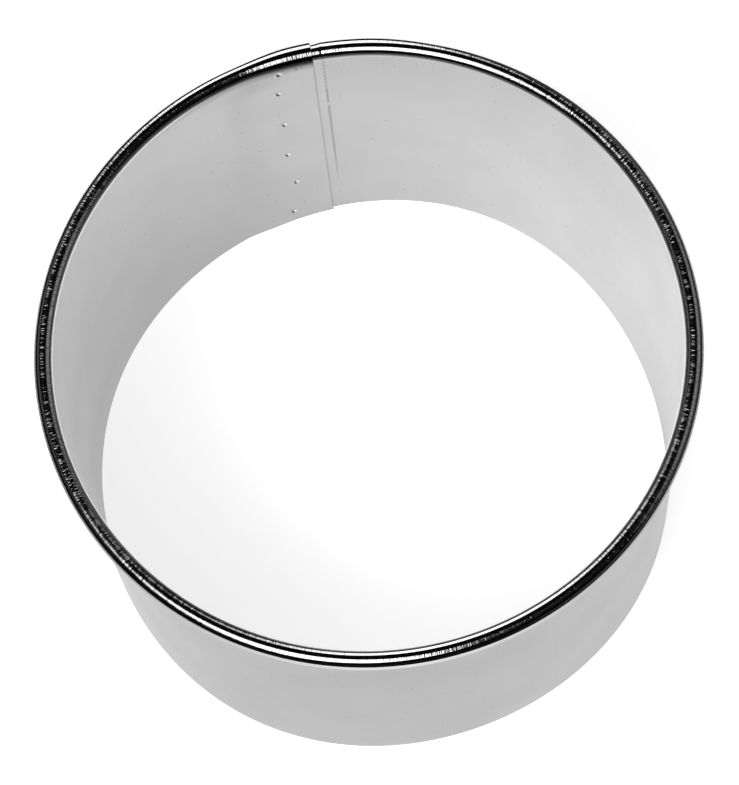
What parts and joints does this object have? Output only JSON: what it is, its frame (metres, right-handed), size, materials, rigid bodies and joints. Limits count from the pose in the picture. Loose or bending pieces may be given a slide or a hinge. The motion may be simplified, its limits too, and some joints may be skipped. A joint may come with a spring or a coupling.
{
  "type": "biscuit cutter",
  "caption": "Plain round pastry cutter: a ring of thin tinned sheet with a hollow rolled bead along its top edge and a spot-welded lap at the back.",
  "frame": {"origin": "centre of the cutting edge, on the ring's axis, in the plane that the cutter rests on", "axes": "+Z along the ring's axis from the cutting edge to the bead; +Y towards the cut end of the lap's inner layer; +X completes a right-handed frame"},
  "size_m": [0.0742, 0.0745, 0.0448],
  "materials": {
    "tinned_wall": "satin tinned sheet with fine specks and faint scratches",
    "bright_bead": "bright drawn tinned sheet with fine wrinkles across the bead",
    "weld_spot": "dull pressed weld spot"
  },
  "bodies": {
    "root": {"wall_band": "tinned_wall", "rolled_bead": "bright_bead", "lap_wall": "tinned_wall", "lap_bead": "bright_bead", "spot_weld_1": "weld_spot", "spot_weld_2": "weld_spot", "spot_weld_3": "weld_spot", "spot_weld_4": "weld_spot", "spot_weld_5": "weld_spot", "spot_weld_6": "weld_spot"}
  },
  "joints": []
}
